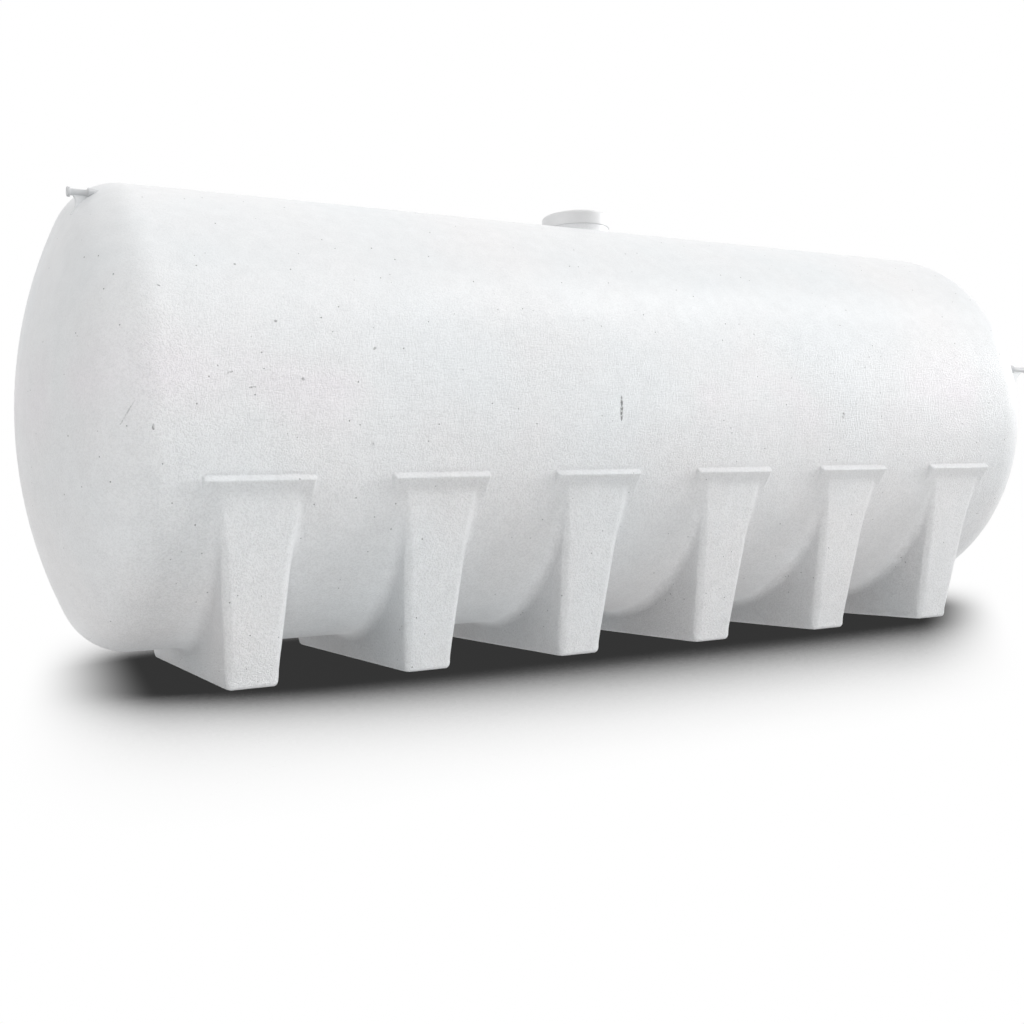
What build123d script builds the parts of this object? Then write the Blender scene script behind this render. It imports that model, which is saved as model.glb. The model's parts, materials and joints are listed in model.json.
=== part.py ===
from build123d import *
import math
import os

os.makedirs("parts", exist_ok=True)

# A rotation-moulded horizontal water tank, in millimetres.
# X runs along the tank, +Y leads to its far side and Z is up. The origin is on the
# ground, under the middle of the barrel.

# Shell
overall_length = 5784.0
barrel_radius = 1100.0
barrel_clearance = 126.0
shell_wall = 12.0
cut_margin = 1.0

# Dished ends: a shallow crown that turns into the barrel round a large rounded edge
crown_radius = 2286.0
end_edge_radius = 290.0

# Feet: hollow lobes of the shell that widen towards the barrel
foot_count = 6
end_foot_inset = 837.0
foot_base_width = 224.0
foot_base_corner = 30.0
foot_base_edge = 14.0
foot_side_draft = 4.33
foot_face_draft = 14.75
ledge_drop_angle = 21.0
foot_top_corner = 60.0
foot_face_stand = 10.0
foot_blend_radius = 55.0
foot_panel_margin = 60.0

# Ribs: the half-round ledge over each foot's face
rib_length = 472.0
rib_height = 76.0
rib_stand = 33.0
rib_nose_drop = 22.0
rib_nose_radius = 12.0
rib_end_radius = 10.0
rib_root_depth = 24.0

# Manhole: a low neck on the crown and a lid with a skirt
manhole_offset = 164.0
neck_bore = 336.0
neck_wall = 22.0
neck_height = 78.0
lid_clearance = 1.0
lid_wall = 7.0
lid_skirt_gap = 29.0
lid_top_height = 112.0
lid_edge_radius = 14.0
lid_dish_depth = 6.0

# Pipe stubs: a capped pipe on each end, with a web under it
pipe_diameter = 30.0
pipe_bore = 22.0
pipe_fit = 0.3
pipe_inner_reach = 24.0
cap_diameter = 44.0
cap_thickness = 14.0
cap_overhang = 4.0
web_thickness = 12.0
web_drop = 100.0
web_gap = 2.0
web_hollow = 10.0
web_foot_stand = 4.0
left_pipe_side = -440.0
left_pipe_rise = 955.0
left_pipe_length = 98.0
right_pipe_side = -1000.0
right_pipe_rise = 252.0
right_pipe_length = 136.0

# Worked out from the sizes above
half_length = overall_length / 2
axis_height = barrel_radius + barrel_clearance
crown_height = axis_height + barrel_radius
crown_centre_radius = crown_radius - end_edge_radius
edge_centre_radius = barrel_radius - end_edge_radius
end_depth = crown_radius - math.sqrt(crown_centre_radius**2 - edge_centre_radius**2)
crown_angle = math.degrees(math.asin(edge_centre_radius / crown_centre_radius))
barrel_half = half_length - end_depth
barrel_axis = Axis((0, 0, axis_height), (1, 0, 0))
foot_pitch = (overall_length - 2 * end_foot_inset) / (foot_count - 1)
foot_places = [(n - (foot_count - 1) / 2) * foot_pitch for n in range(foot_count)]
foot_top_height = axis_height - barrel_radius * math.sin(math.radians(ledge_drop_angle))
foot_side_spread = foot_top_height * math.tan(math.radians(foot_side_draft))
foot_face_spread = foot_top_height * math.tan(math.radians(foot_face_draft))
foot_top_width = foot_base_width + 2 * foot_side_spread
panel_width = foot_top_width + 2 * foot_panel_margin


def barrel_half_width(height: float) -> float:
    """Distance from the middle plane to the barrel's skin at a height above ground."""
    return math.sqrt(barrel_radius**2 - (height - axis_height) ** 2)


foot_top_depth = 2 * (barrel_half_width(foot_top_height) + foot_face_stand)
foot_base_depth = foot_top_depth - 2 * foot_face_spread


def moulding_bay(inset: float) -> Part:
    """One bay of the moulding: a length of barrel with a foot blended into it.

    With inset 0 it is the outer skin, and with inset shell_wall the inner one. It is cut
    level at the ledges' height first, so that the blend runs out on a flat face.
    """
    with BuildPart() as bay:
        with BuildSketch(Plane.YZ):
            with Locations((0, axis_height)):
                Circle(barrel_radius - inset)
            with Locations((0, foot_top_height)):
                Rectangle(
                    3 * barrel_radius,
                    2 * barrel_radius,
                    align=(Align.CENTER, Align.MAX),
                    mode=Mode.INTERSECT,
                )
        extrude(amount=panel_width / 2 + inset + cut_margin, both=True)
        with BuildSketch(Plane.XY.offset(inset)):
            RectangleRounded(
                foot_base_width - 2 * inset,
                foot_base_depth - 2 * inset,
                foot_base_corner - inset,
            )
        with BuildSketch(Plane.XY.offset(foot_top_height)):
            RectangleRounded(
                foot_top_width - 2 * inset,
                foot_top_depth - 2 * inset,
                foot_top_corner - inset,
            )
        loft(ruled=True)
        joint_edges = bay.edges(Select.NEW)
        blend_edges = [edge for edge in joint_edges if edge.center().Z < foot_top_height - cut_margin]
        fillet(blend_edges, foot_blend_radius + inset)
        if inset < foot_base_edge:
            base_face = bay.faces().sort_by(Axis.Z)[0]
            fillet(base_face.edges(), foot_base_edge - inset)
    return bay.part


outer_bay = moulding_bay(0.0)
inner_bay = moulding_bay(shell_wall)

# The foot's pattern: the shell of the bay below the ledge
with BuildPart() as foot_pattern:
    add(outer_bay)
    add(inner_bay, mode=Mode.SUBTRACT)
    with Locations((0, 0, foot_top_height / 2)):
        Box(panel_width, 2 * barrel_radius, foot_top_height, mode=Mode.INTERSECT)

for number, place in enumerate(foot_places, start=1):
    with BuildPart() as foot:
        with Locations((place, 0, 0)):
            add(foot_pattern.part)
    foot.part.label = f"foot_{number}"
    export_step(foot.part, f"parts/foot_{number}.step")


def barrel_wall(side: Align) -> Part:
    """The barrel's wall above the ledges' height with Align.MIN, or below it with Align.MAX."""
    with BuildPart() as wall:
        with BuildSketch(Plane.YZ.offset(-barrel_half)):
            with Locations((0, axis_height)):
                Circle(barrel_radius)
                Circle(barrel_radius - shell_wall, mode=Mode.SUBTRACT)
            with Locations((0, foot_top_height)):
                Rectangle(
                    3 * barrel_radius,
                    2 * barrel_radius,
                    align=(Align.CENTER, side),
                    mode=Mode.INTERSECT,
                )
        extrude(amount=2 * barrel_half)
    return wall.part


# What the barrel leaves open: a place in its belly for each foot, and the manhole
with BuildPart() as barrel_places:
    with Locations(*[(place, 0, foot_top_height / 2) for place in foot_places]):
        Box(panel_width, 2 * barrel_radius, foot_top_height)
    with BuildSketch(Plane.XY.offset(axis_height)):
        with Locations((manhole_offset, 0)):
            Circle(neck_bore / 2)
    extrude(amount=barrel_radius + cut_margin)

# Barrel: a crown and a belly joined at the ledges' height, whose faces stay apart there
with BuildPart() as barrel:
    add(barrel_wall(Align.MIN), clean=False)
    add(barrel_wall(Align.MAX), clean=False)
    add(barrel_places.part, mode=Mode.SUBTRACT, clean=False)
barrel.part.label = "barrel"
export_step(barrel.part, "parts/barrel.step")


def end_arcs(inset: float) -> None:
    """The end's half profile from its tip to the barrel, inset from the outer skin."""
    CenterArc(
        (-half_length + crown_radius, axis_height),
        crown_radius - inset,
        180,
        -crown_angle,
    )
    CenterArc(
        (-barrel_half, axis_height + edge_centre_radius),
        end_edge_radius - inset,
        180 - crown_angle,
        crown_angle - 90,
    )


def skin_depth(side: float, rise: float, skin: float) -> float:
    """How far in from the end's tip its skin lies, beside and above the barrel's axis."""
    reach = math.hypot(side, rise)
    if reach < crown_radius * math.sin(math.radians(crown_angle)):
        return crown_radius - math.sqrt((crown_radius - skin) ** 2 - reach**2)
    edge_step = (end_edge_radius - skin) ** 2 - (reach - edge_centre_radius) ** 2
    return end_depth - math.sqrt(edge_step)


def end_shell(side: float, rise: float) -> Part:
    """A dished end at the tank's left, with the hole for its pipe stub."""
    with BuildPart() as end:
        with BuildSketch(Plane.XZ):
            with BuildLine():
                end_arcs(0.0)
                end_arcs(shell_wall)
                Line(
                    (-half_length, axis_height),
                    (-half_length + shell_wall, axis_height),
                )
                Line(
                    (-barrel_half, axis_height + barrel_radius - shell_wall),
                    (-barrel_half, axis_height + barrel_radius),
                )
            make_face()
        revolve(axis=barrel_axis)
        with BuildSketch(Plane.YZ.offset(-half_length)):
            with Locations((side, axis_height + rise)):
                Circle(pipe_diameter / 2 + pipe_fit)
        extrude(amount=end_depth, mode=Mode.SUBTRACT)
    return end.part


def pipe_pieces(side: float, rise: float, length: float) -> list[Part]:
    """The pipe stub, its cap and its web, on the tank's left end.

    The stub stands out from the end's skin by its length.
    """
    pipe_height = axis_height + rise
    tip = skin_depth(side, rise, 0.0) - length
    root = skin_depth(side, rise, shell_wall) + pipe_inner_reach
    with BuildPart() as pipe:
        with BuildSketch(Plane.YZ.offset(-half_length + tip)):
            with Locations((side, pipe_height)):
                Circle(pipe_diameter / 2)
                Circle(pipe_bore / 2, mode=Mode.SUBTRACT)
        extrude(amount=root - tip)
    with BuildPart() as cap:
        with BuildSketch(Plane.YZ.offset(-half_length + tip - cap_overhang)):
            with Locations((side, pipe_height)):
                Circle(cap_diameter / 2)
        extrude(amount=cap_thickness)
        fillet(cap.edges().group_by(Axis.X)[0], cap_overhang / 2)
        with BuildSketch(Plane.YZ.offset(-half_length + tip)):
            with Locations((side, pipe_height)):
                Circle(pipe_diameter / 2)
        extrude(amount=cap_thickness, mode=Mode.SUBTRACT)
    web_low = pipe_height - web_drop
    web_inner = -half_length + root
    web_outer = -half_length + tip - cap_overhang + cap_thickness + web_gap
    web_foot = -half_length + skin_depth(side, rise - web_drop, 0.0) - web_foot_stand
    web_middle = (web_outer + web_foot) / 2 + web_hollow
    with BuildPart() as web:
        with BuildSketch(Plane.XZ.offset(-side)):
            with BuildLine():
                Polyline(
                    (web_outer, pipe_height),
                    (web_inner, pipe_height),
                    (web_inner, web_low),
                    (web_foot, web_low),
                )
                ThreePointArc(
                    (web_foot, web_low),
                    (web_middle, pipe_height - web_drop / 2),
                    (web_outer, pipe_height),
                )
            make_face()
        extrude(amount=web_thickness / 2, both=True)
        with BuildSketch(Plane.YZ.offset(-half_length)):
            with Locations((side, pipe_height)):
                Circle(pipe_diameter / 2)
        extrude(amount=end_depth + shell_wall, mode=Mode.SUBTRACT)
        with BuildSketch(Plane.XZ):
            with BuildLine():
                end_arcs(0.0)
                Line((-half_length, axis_height), (-barrel_half, axis_height))
                Line((-barrel_half, axis_height), (-barrel_half, axis_height + barrel_radius))
            make_face()
        revolve(axis=barrel_axis, mode=Mode.SUBTRACT)
    return [pipe.part, cap.part, web.part]


def write_end(hand: str, end: Part, pieces: list[Part]) -> None:
    """Write one end and the three pieces of its stub under their own names."""
    names = ["end", "pipe", "pipe_cap", "pipe_web"]
    for name, piece in zip(names, [end, *pieces]):
        with BuildPart() as written:
            add(piece)
            if hand == "right":
                mirror(about=Plane.YZ, mode=Mode.REPLACE)
        written.part.label = f"{hand}_{name}"
        export_step(written.part, f"parts/{hand}_{name}.step")


write_end(
    "left",
    end_shell(left_pipe_side, left_pipe_rise),
    pipe_pieces(left_pipe_side, left_pipe_rise, left_pipe_length),
)
write_end(
    "right",
    end_shell(right_pipe_side, right_pipe_rise),
    pipe_pieces(right_pipe_side, right_pipe_rise, right_pipe_length),
)

# The rib's pattern, on the near side: a rounded nose with a steep top and a long underside
rib_top_height = foot_top_height + rib_height
nose_height = rib_top_height - rib_nose_drop
nose_reach = barrel_half_width(nose_height) + rib_stand
with BuildPart() as rib_pattern:
    with BuildSketch(Plane.YZ) as rib_section:
        with BuildLine():
            Polyline(
                (-barrel_half_width(rib_top_height) + rib_root_depth, rib_top_height),
                (-barrel_half_width(rib_top_height), rib_top_height),
                (-nose_reach, nose_height),
                (-foot_top_depth / 2, foot_top_height),
                (-foot_top_depth / 2 + rib_root_depth, foot_top_height),
                close=True,
            )
        make_face()
        nose = rib_section.vertices().sort_by(Axis.Y)[0]
        fillet(nose, rib_nose_radius)
    extrude(amount=rib_length / 2, both=True)
    end_edges = rib_pattern.faces().filter_by(Axis.X).edges()
    outer_edges = [edge for edge in end_edges if edge.center().Y < -barrel_half_width(foot_top_height)]
    fillet(outer_edges, rib_end_radius)
    with BuildSketch(Plane.YZ):
        with Locations((0, axis_height)):
            Circle(barrel_radius)
    extrude(amount=rib_length, both=True, mode=Mode.SUBTRACT)

for number, place in enumerate(foot_places, start=1):
    for side_name in ("front", "back"):
        with BuildPart() as rib:
            with Locations((place, 0, 0)):
                add(rib_pattern.part)
            if side_name == "back":
                mirror(about=Plane.XZ, mode=Mode.REPLACE)
        rib.part.label = f"rib_{number}_{side_name}"
        export_step(rib.part, f"parts/rib_{number}_{side_name}.step")

# Manhole neck, seated on the barrel's crown round the hole
neck_radius = neck_bore / 2 + neck_wall
with BuildPart() as manhole_neck:
    with BuildSketch(Plane.XY.offset(axis_height)):
        with Locations((manhole_offset, 0)):
            Circle(neck_radius)
            Circle(neck_bore / 2, mode=Mode.SUBTRACT)
    extrude(amount=barrel_radius + neck_height)
    with BuildSketch(Plane.YZ.offset(manhole_offset)):
        with Locations((0, axis_height)):
            Circle(barrel_radius)
    extrude(amount=neck_bore, both=True, mode=Mode.SUBTRACT)
manhole_neck.part.label = "manhole_neck"
export_step(manhole_neck.part, "parts/manhole_neck.step")

# Lid, resting on the neck's rim, with its skirt outside the neck
lid_radius = neck_radius + lid_clearance + lid_wall
lid_top = crown_height + lid_top_height
lid_edge_height = lid_top - lid_dish_depth
lid_axis = Axis((manhole_offset, 0, 0), (0, 0, 1))
with BuildPart() as lid:
    with BuildSketch(Plane.XZ):
        with BuildLine():
            skirt_foot = crown_height + lid_skirt_gap
            rim_height = crown_height + neck_height
            skirt_outside = manhole_offset + lid_radius
            skirt_inside = skirt_outside - lid_wall
            Polyline(
                (manhole_offset, lid_top),
                (manhole_offset, rim_height),
                (skirt_inside, rim_height),
                (skirt_inside, skirt_foot),
                (skirt_outside, skirt_foot),
                (skirt_outside, lid_edge_height - lid_edge_radius),
            )
            CenterArc(
                (skirt_outside - lid_edge_radius, lid_edge_height - lid_edge_radius),
                lid_edge_radius,
                0,
                90,
            )
            Line(
                (skirt_outside - lid_edge_radius, lid_edge_height),
                (manhole_offset, lid_top),
            )
        make_face()
    revolve(axis=lid_axis)
lid.part.label = "lid"
export_step(lid.part, "parts/lid.step")
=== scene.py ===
import json
import logging
import math
from dataclasses import dataclass
from enum import Enum

import bpy
import numpy as np
from mathutils import Matrix, Vector

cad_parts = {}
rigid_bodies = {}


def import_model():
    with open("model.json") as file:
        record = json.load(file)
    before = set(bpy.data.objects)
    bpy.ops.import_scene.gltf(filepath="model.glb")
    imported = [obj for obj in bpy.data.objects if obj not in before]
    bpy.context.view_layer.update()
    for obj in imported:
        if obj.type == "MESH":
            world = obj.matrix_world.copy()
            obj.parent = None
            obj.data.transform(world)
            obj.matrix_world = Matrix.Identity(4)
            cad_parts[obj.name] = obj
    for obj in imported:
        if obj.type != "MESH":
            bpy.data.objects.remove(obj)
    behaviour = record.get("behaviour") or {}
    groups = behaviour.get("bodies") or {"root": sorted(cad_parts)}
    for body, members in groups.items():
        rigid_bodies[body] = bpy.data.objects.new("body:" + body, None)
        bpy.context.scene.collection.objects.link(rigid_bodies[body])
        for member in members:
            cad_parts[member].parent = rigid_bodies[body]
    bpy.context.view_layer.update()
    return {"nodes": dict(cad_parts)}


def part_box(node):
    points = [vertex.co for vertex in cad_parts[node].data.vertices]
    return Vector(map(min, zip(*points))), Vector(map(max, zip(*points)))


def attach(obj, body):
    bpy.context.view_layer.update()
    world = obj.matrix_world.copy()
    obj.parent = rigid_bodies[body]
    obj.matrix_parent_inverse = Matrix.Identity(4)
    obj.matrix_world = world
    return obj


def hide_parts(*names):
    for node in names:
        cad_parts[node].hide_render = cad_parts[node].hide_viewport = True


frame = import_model()

# Looks for a rotation-moulded horizontal water tank, in metres, in the row frame: X runs
# along the tank, Y leads to its far side and Z is up. Angles round the barrel are measured
# at its axis from straight down, positive towards the near side.

log = logging.getLogger("water_tank")

Array = np.ndarray
Numbers = np.ndarray | float
Socket = bpy.types.NodeSocket
Triple = tuple[float, float, float]

SHARP_ANGLE = math.radians(45)
SPACING_SAMPLES = 6001
MOST_FEET = 100


class Hand(Enum):
    """The tank's two ends, with the direction each one faces along X."""

    LEFT = -1
    RIGHT = 1

    @property
    def word(self) -> str:
        """The hand as the names of nodes and pieces begin."""
        return self.name.lower()

    def outward(self, faces: list[Array]) -> list[Array]:
        """Faces drawn for the left end, turned round where the right end mirrors them."""
        return [each[:, ::-1] for each in faces] if self is Hand.RIGHT else faces


def smooth_larger(first: Array, second: Array, width: float) -> Array:
    """The larger of two heights, with a parabolic fillet where they differ by under the width.

    With h the difference over twice the width plus a half, held between 0 and 1, it is the
    mix of both by h, plus the width times h times 1 - h.

    Args:
        first: Heights of one surface.
        second: Heights of the other one.
        width: The difference at which the fillet ends.

    Returns:
        The height of the joined surface.
    """
    h = np.clip(0.5 + 0.5 * (first - second) / width, 0, 1)
    return second + (first - second) * h + width * h * (1 - h)


@dataclass(frozen=True)
class Peak:
    """A place round which the spacing of numbers tightens: how wide, and to what spacing."""

    place: float
    half_width: float
    spacing: float


def spaced(low: float, high: float, base: float, peaks: list[Peak]) -> Array:
    """Numbers from low to high whose spacing tightens smoothly round the peaks.

    Their density is 1 over the base spacing, plus a bell curve for each peak, and they stand
    where the running total of the density passes whole steps.

    Args:
        low: The first number.
        high: The last number.
        base: Spacing far from any peak.
        peaks: The bell curves.

    Returns:
        The numbers, in order.
    """
    fine = np.linspace(low, high, SPACING_SAMPLES)
    density = np.full_like(fine, 1 / base)
    for peak in peaks:
        density += np.exp(-(((fine - peak.place) / peak.half_width) ** 2)) / peak.spacing
    steps = (density[1:] + density[:-1]) / 2 * np.diff(fine)
    total = np.concatenate([[0], np.cumsum(steps)])
    return np.interp(np.linspace(0, total[-1], int(round(total[-1])) + 1), total, fine)


def arc(centre: tuple[float, float], radius: float, start: float, end: float, steps: int) -> Array:
    """Points on a circle from one angle to another, in degrees."""
    angle = np.radians(np.linspace(start, end, steps))
    return np.array(centre) + radius * np.stack([np.cos(angle), np.sin(angle)], axis=-1)


def line(start: tuple[float, float], end: tuple[float, float], steps: int) -> Array:
    """Points on a straight line, without its two ends."""
    share = np.linspace(0, 1, steps + 2)[1:-1, None]
    return np.array(start) * (1 - share) + np.array(end) * share


def points_at(x: Numbers, y: Numbers, z: Numbers) -> Array:
    """Points from their X, Y and Z, stretched to the same grid."""
    return np.stack(np.broadcast_arrays(x, y, z), axis=-1)


def turn(reach: Array, steps: int) -> tuple[Array, Array]:
    """Distances from an axis times the cosine and the sine of even steps round it."""
    angle = np.linspace(0, 2 * math.pi, steps, endpoint=False)[:, None]
    return reach * np.cos(angle), reach * np.sin(angle)


def grid_faces(rows: int, columns: int, first: int = 0, turned: bool = False) -> Array:
    """Corner numbers of the quads of a grid of points whose last row joins the first one.

    Args:
        rows: Number of rows.
        columns: Number of points in a row.
        first: Number of the grid's first point in the mesh.
        turned: Whether the faces look the other way.

    Returns:
        An array with four corners for each quad.
    """
    row = np.arange(rows)[:, None]
    column = np.arange(columns - 1)[None, :]
    here, after = row * columns + column, (row + 1) % rows * columns + column
    quads = np.stack([here, here + 1, after + 1, after], axis=-1).reshape(-1, 4)
    return (quads[:, ::-1] if turned else quads) + first


def ring_faces(one: Array, other: Array) -> Array:
    """Quads between two closed rings of as many points, given by their numbers."""
    return np.stack([one, np.roll(one, -1), np.roll(other, -1), other], axis=-1)


def capped_grid(grid: Array, poles: list[Triple] | Array) -> tuple[Array, list[Array]]:
    """Closes a grid of points, whose last row joins the first one, with a fan at each end.

    Args:
        grid: Points by rows and columns.
        poles: The middle of the fan at the rows' start, and of the one at their end.

    Returns:
        All points, and the quads and triangles between them.
    """
    rows, columns = grid.shape[:2]
    start = np.arange(rows) * columns
    end = start + columns - 1
    pole = np.full(rows, rows * columns)
    fans = [
        np.stack([pole, start, np.roll(start, -1)], axis=-1),
        np.stack([pole + 1, np.roll(end, -1), end], axis=-1),
    ]
    points = np.concatenate([grid.reshape(-1, 3), poles])
    return points, [grid_faces(rows, columns), np.concatenate(fans)]


def make_piece(
    name: str,
    points: Array,
    faces: list[Array],
    material: bpy.types.Material,
    nodes: list[str],
) -> bpy.types.Object:
    """Puts points and faces into a new piece of the tank, with its finish and its nodes.

    Args:
        name: The piece's name.
        points: One row of X, Y and Z for each point.
        faces: Arrays with the corners of each quad or of each triangle.
        material: The finish.
        nodes: The CAD nodes that the piece stands for.

    Returns:
        The new object, riding on the tank's one body.
    """
    corners = np.concatenate([each.ravel() for each in faces]).astype(np.int32)
    sizes = np.concatenate([np.full(len(each), each.shape[1]) for each in faces])
    starts = np.concatenate([[0], np.cumsum(sizes)[:-1]]).astype(np.int32)
    mesh = bpy.data.meshes.new(name)
    mesh.vertices.add(len(points))
    mesh.vertices.foreach_set("co", points.astype(np.float32).ravel())
    mesh.loops.add(len(corners))
    mesh.loops.foreach_set("vertex_index", corners)
    mesh.polygons.add(len(sizes))
    mesh.polygons.foreach_set("loop_start", starts)
    mesh.polygons.foreach_set("use_smooth", np.ones(len(sizes), bool))
    mesh.update(calc_edges=True)
    mesh.validate()
    mesh.set_sharp_from_angle(angle=SHARP_ANGLE)
    mesh.materials.append(material)
    piece = bpy.data.objects.new(name, mesh)
    bpy.context.scene.collection.objects.link(piece)
    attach(piece, "root")
    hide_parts(*nodes)
    log.info("%s: %d points, %d faces", name, len(points), len(sizes))
    return piece


@dataclass(frozen=True)
class Mark:
    """A small scuff or nick on the skin: a short stroke between two places on the tank."""

    start: Triple
    end: Triple
    width: float
    depth: float


class Nodes:
    """Short ways to add the shader nodes that the finishes and the studio share."""

    # The share of a dot's radius, and of the span beside a stroke, that it fills evenly
    DOT_CORE = 0.6
    STROKE_CORE = 0.3

    def __init__(self, owner: bpy.types.Material | bpy.types.World) -> None:
        """Empties a node tree, to fill it.

        Args:
            owner: The material or the world that has the tree.
        """
        owner.use_nodes = True
        self.tree = owner.node_tree
        self.tree.nodes.clear()

    def add(self, kind: str) -> bpy.types.Node:
        """A new node of a kind."""
        return self.tree.nodes.new(kind)

    def give(self, value: Socket | float | tuple[float, ...], target: Socket) -> None:
        """Links a socket to an input, or sets the input to a value.

        Args:
            value: The socket or the value.
            target: The input.
        """
        if isinstance(value, Socket):
            self.tree.links.new(value, target)
        else:
            target.default_value = value

    def put_out(self, kind: str, surface: Socket) -> None:
        """Ends the tree in an output node of a kind."""
        self.give(surface, self.add(kind).inputs["Surface"])

    def place(self) -> Socket:
        """Object coordinates, which are metres in the row frame."""
        return self.add("ShaderNodeTexCoord").outputs["Object"]

    def split(self, place: Socket) -> list[Socket]:
        """Takes a place apart.

        Args:
            place: The place.

        Returns:
            Its X, Y and Z.
        """
        node = self.add("ShaderNodeSeparateXYZ")
        self.give(place, node.inputs["Vector"])
        return list(node.outputs)

    def noise(self, place: Socket, scale: float, detail: float, twist: float = 0.0) -> Socket:
        """Noise between 0 and 1.

        Args:
            place: Where it is read.
            scale: Features a metre.
            detail: Octaves.
            twist: How far it is drawn out of its square lattice.

        Returns:
            The noise.
        """
        node = self.add("ShaderNodeTexNoise")
        self.give(place, node.inputs["Vector"])
        for name, value in (("Scale", scale), ("Detail", detail), ("Distortion", twist)):
            node.inputs[name].default_value = value
        return node.outputs["Fac"]

    def maths(self, kind: str, first: Socket | float, second: Socket | float) -> Socket:
        """A maths node on two values.

        Args:
            kind: The operation.
            first: The first value.
            second: The second one.

        Returns:
            What comes of them.
        """
        node = self.add("ShaderNodeMath")
        node.operation = kind
        self.give(first, node.inputs[0])
        self.give(second, node.inputs[1])
        return node.outputs[0]

    def times(self, product: Socket, *factors: Socket | float) -> Socket:
        """The product of several values.

        Args:
            product: The first of them.
            factors: The others.

        Returns:
            The product.
        """
        for factor in factors:
            product = self.maths("MULTIPLY", product, factor)
        return product

    def fit(
        self,
        value: Socket,
        low: float,
        high: float,
        new_low: float,
        new_high: float,
        ease: str = "LINEAR",
    ) -> Socket:
        """Maps a value from one range to another, held at both ends.

        Args:
            value: What is mapped.
            low: Start of its range.
            high: End of its range.
            new_low: What the start becomes.
            new_high: What the end becomes.
            ease: The kind of curve between them.

        Returns:
            The mapped value.
        """
        node = self.add("ShaderNodeMapRange")
        node.interpolation_type = ease
        self.give(value, node.inputs["Value"])
        limits = {"From Min": low, "From Max": high, "To Min": new_low, "To Max": new_high}
        for name, limit in limits.items():
            node.inputs[name].default_value = limit
        return node.outputs["Result"]

    def blend(self, share: Socket, first: Socket | Triple, second: Triple) -> Socket:
        """A colour mixed with a fixed one.

        Args:
            share: How much of the second shows, from 0 to 1.
            first: A colour, fixed or from a socket.
            second: The fixed colour.

        Returns:
            The mix.
        """
        node = self.add("ShaderNodeMix")
        node.data_type = "RGBA"
        self.give(share, node.inputs["Factor"])
        self.give(first if isinstance(first, Socket) else (*first, 1), node.inputs["A"])
        self.give((*second, 1), node.inputs["B"])
        return node.outputs["Result"]

    def dim(self, colour: Socket, by: Socket) -> Socket:
        """A colour times a value.

        Args:
            colour: The colour.
            by: The value.

        Returns:
            The scaled colour.
        """
        node = self.add("ShaderNodeVectorMath")
        node.operation = "SCALE"
        self.give(colour, node.inputs[0])
        self.give(by, node.inputs["Scale"])
        return node.outputs[0]

    def dots(self, place: Socket, cells: float, radius: float, share: float) -> Socket:
        """Round dots with a soft rim at the middle of some Voronoi cells.

        A dot shows where the distance to the cell's point is below the radius, in the cells
        whose random colour is below the share.

        Args:
            place: Where the pattern is read.
            cells: Cells a metre.
            radius: A dot's radius, as a share of a cell.
            share: Share of the cells with a dot.

        Returns:
            1 on a dot and 0 beside it.
        """
        node = self.add("ShaderNodeTexVoronoi")
        self.give(place, node.inputs["Vector"])
        node.inputs["Scale"].default_value = cells
        inside = self.fit(node.outputs["Distance"], radius * self.DOT_CORE, radius, 1, 0)
        colour = self.add("ShaderNodeSeparateColor")
        self.give(node.outputs["Color"], colour.inputs["Color"])
        return self.times(inside, self.maths("LESS_THAN", colour.outputs["Red"], share))

    def stroke(self, place: Socket, mark: Mark) -> Socket:
        """1 on a mark's line and 0 past its width, from the distances to its two ends.

        The sum of the distances to both ends, less the mark's length, is zero on the line
        and grows beside it, so its level sets are thin ellipses round the mark.

        Args:
            place: Where it is read.
            mark: The mark.

        Returns:
            The mark's strength there.
        """
        away = []
        for end in (mark.start, mark.end):
            node = self.add("ShaderNodeVectorMath")
            node.operation = "DISTANCE"
            self.give(place, node.inputs[0])
            self.give(end, node.inputs[1])
            away.append(node.outputs["Value"])
        length = math.dist(mark.start, mark.end)
        rim = math.sqrt(length**2 + mark.width**2) - length
        excess = self.maths("SUBTRACT", self.maths("ADD", *away), length)
        return self.fit(excess, rim * self.STROKE_CORE, rim, 1, 0)

    def bump(self, height: Socket, depth: float) -> Socket:
        """A normal bumped by a height.

        Args:
            height: The height, about zero.
            depth: Metres for a height of 1.

        Returns:
            The normal.
        """
        node = self.add("ShaderNodeBump")
        node.inputs["Strength"].default_value = 1.0
        node.inputs["Distance"].default_value = depth
        self.give(height, node.inputs["Height"])
        return node.outputs["Normal"]


# Between which values a plain noise mostly lies, and one with more octaves
NOISE_SPAN = (0.35, 0.65)
ROUGH_NOISE_SPAN = (0.3, 0.7)

# The grain: how much finer its fine part is and how strong, and the heights between which its dips
# take painted shade, darkest at the low end
FINE_GRAIN = 2.2
FINE_SHARE = 0.6
GRAIN_SHADE_SPAN = (-0.12, 0.06)

# How far the roughness wanders down and up, and how a noise breaks up the marks
GLOSS_SWING = (-0.05, 0.06)
SCUFF_GAPS = (0.4, 0.55, 0.2, 1)

# How the shell's grain changes with the height or with the distance from the tank's middle:
# where the change starts and ends, and the strength at both
BELLY_GRAIN = (0.75, 1.25, 1.45, 1)
CROWN_GRAIN = (1.35, 1.85, 1, 0.3)
END_GRAIN = (2.42, 2.60, 1, 0.5)

# The shell's faint pink patches, a painted reflection tint: the heights between which they come and
# go, where the wide noise lets them show, and their colour
REFLECTION_TINT_RISE = (1.0, 1.3, 0, 1)
REFLECTION_TINT_FALL = (1.3, 1.6, 1, 0)
REFLECTION_TINT_PATCHES = (0.5, 0.62, 0, 1)
REFLECTION_TINT_COLOUR = (0.845, 0.825, 0.850)
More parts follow.
